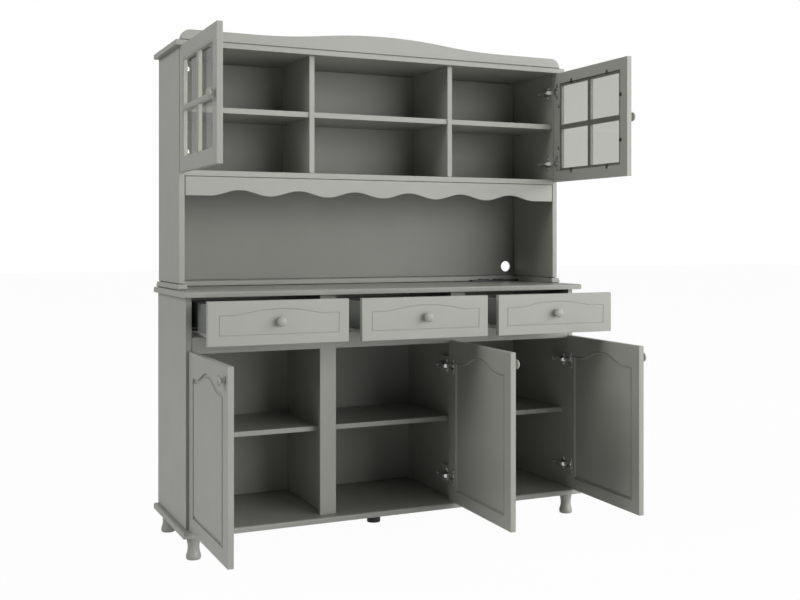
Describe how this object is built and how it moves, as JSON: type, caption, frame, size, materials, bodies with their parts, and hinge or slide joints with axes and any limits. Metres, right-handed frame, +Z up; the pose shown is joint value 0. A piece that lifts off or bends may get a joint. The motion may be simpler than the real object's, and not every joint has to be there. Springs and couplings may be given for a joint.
{
  "type": "buffet cabinet",
  "caption": "Painted buffet cabinet with a hutch: hinged doors below, sliding drawers, an open niche with a cable hole, a waved valance, glazed hutch doors and turned feet.",
  "frame": {"origin": "on the floor, at the middle of the centre foot's underside", "axes": "+X to the right as seen from the front, +Y to the back, +Z up; the doors are on the -Y side"},
  "size_m": [1.4449, 0.8331, 1.662],
  "materials": {
    "sage_paint": "satin paint on fibre board",
    "sage_counter": "semi-gloss paint on fibre board",
    "drawer_board": "matt grey foil",
    "black_plastic": "satin",
    "zinc": "bright",
    "glass": "clear"
  },
  "bodies": {
    "cabinet": {"bottom_board": "sage_paint", "base_side_left": "sage_paint", "base_side_right": "sage_paint", "base_partition_left": "sage_paint", "base_partition_right": "sage_paint", "base_back_panel": "sage_paint", "face_stiles": "sage_paint", "face_rails": "sage_paint", "counter_top": "sage_counter", "lower_shelves": "sage_paint", "turned_feet": "sage_paint", "centre_foot": "black_plastic", "packers": "sage_paint", "fixed_runners": "zinc", "hinge_arms": "zinc", "shelf_pins": "zinc", "hutch_base_strips": "sage_paint", "hutch_side_left": "sage_paint", "hutch_side_right": "sage_paint", "hutch_partition_left": "sage_paint", "hutch_partition_right": "sage_paint", "hutch_floor_board": "sage_paint", "hutch_shelves": "sage_paint", "hutch_back_panel": "sage_paint", "valance": "sage_paint", "cornice": "sage_paint", "crown_board": "sage_paint", "outlet_bar": "black_plastic"},
    "drawer_left": {"drawer_front_left": "sage_paint", "drawer_box_left": "drawer_board", "drawer_bottom_left": "drawer_board", "moving_rails_left": "zinc", "drawer_knob_left": "sage_paint"},
    "door_left": {"lower_door_left": "sage_paint", "lower_hinge_cups_left": "zinc", "lower_knob_left": "sage_paint"},
    "drawer_middle": {"drawer_front_middle": "sage_paint", "drawer_box_middle": "drawer_board", "drawer_bottom_middle": "drawer_board", "moving_rails_middle": "zinc", "drawer_knob_middle": "sage_paint"},
    "door_middle": {"lower_door_middle": "sage_paint", "lower_hinge_cups_middle": "zinc", "lower_knob_middle": "sage_paint"},
    "drawer_right": {"drawer_front_right": "sage_paint", "drawer_box_right": "drawer_board", "drawer_bottom_right": "drawer_board", "moving_rails_right": "zinc", "drawer_knob_right": "sage_paint"},
    "door_right": {"lower_door_right": "sage_paint", "lower_hinge_cups_right": "zinc", "lower_knob_right": "sage_paint"},
    "glass_door_left": {"glass_door_frame_left": "sage_paint", "glass_pane_left": "glass", "glass_door_fittings_left": "zinc", "glass_knob_left": "sage_paint"},
    "glass_door_right": {"glass_door_frame_right": "sage_paint", "glass_pane_right": "glass", "glass_door_fittings_right": "zinc", "glass_knob_right": "sage_paint"}
  },
  "joints": [
    {"name": "drawer_left_slide", "type": "slide", "parent": "cabinet", "child": "drawer_left", "axis": [0, -1, 0], "range_m": [-0.2064, 0.0586]},
    {"name": "drawer_middle_slide", "type": "slide", "parent": "cabinet", "child": "drawer_middle", "axis": [0, -1, 0], "range_m": [-0.2216, 0.0434]},
    {"name": "drawer_right_slide", "type": "slide", "parent": "cabinet", "child": "drawer_right", "axis": [0, -1, 0], "range_m": [-0.227, 0.038]},
    {"name": "door_left_hinge", "type": "hinge", "parent": "cabinet", "child": "door_left", "pos_m": [-0.685, -0.1905, 0.36], "axis": [0, 0, -1], "range_deg": [-90.3, 4.7]},
    {"name": "door_middle_hinge", "type": "hinge", "parent": "cabinet", "child": "door_middle", "pos_m": [0.212, -0.1905, 0.36], "axis": [0, 0, 1], "range_deg": [-87.6, 7.4]},
    {"name": "door_right_hinge", "type": "hinge", "parent": "cabinet", "child": "door_right", "pos_m": [0.685, -0.1905, 0.36], "axis": [0, 0, 1], "range_deg": [-87.9, 7.1]},
    {"name": "glass_door_left_hinge", "type": "hinge", "parent": "cabinet", "child": "glass_door_left", "pos_m": [-0.691, -0.0925, 1.387], "axis": [0, 0, -1], "range_deg": [-90.1, 4.9]},
    {"name": "glass_door_right_hinge", "type": "hinge", "parent": "cabinet", "child": "glass_door_right", "pos_m": [0.691, -0.0925, 1.387], "axis": [0, 0, 1], "range_deg": [-90, 5]}
  ]
}
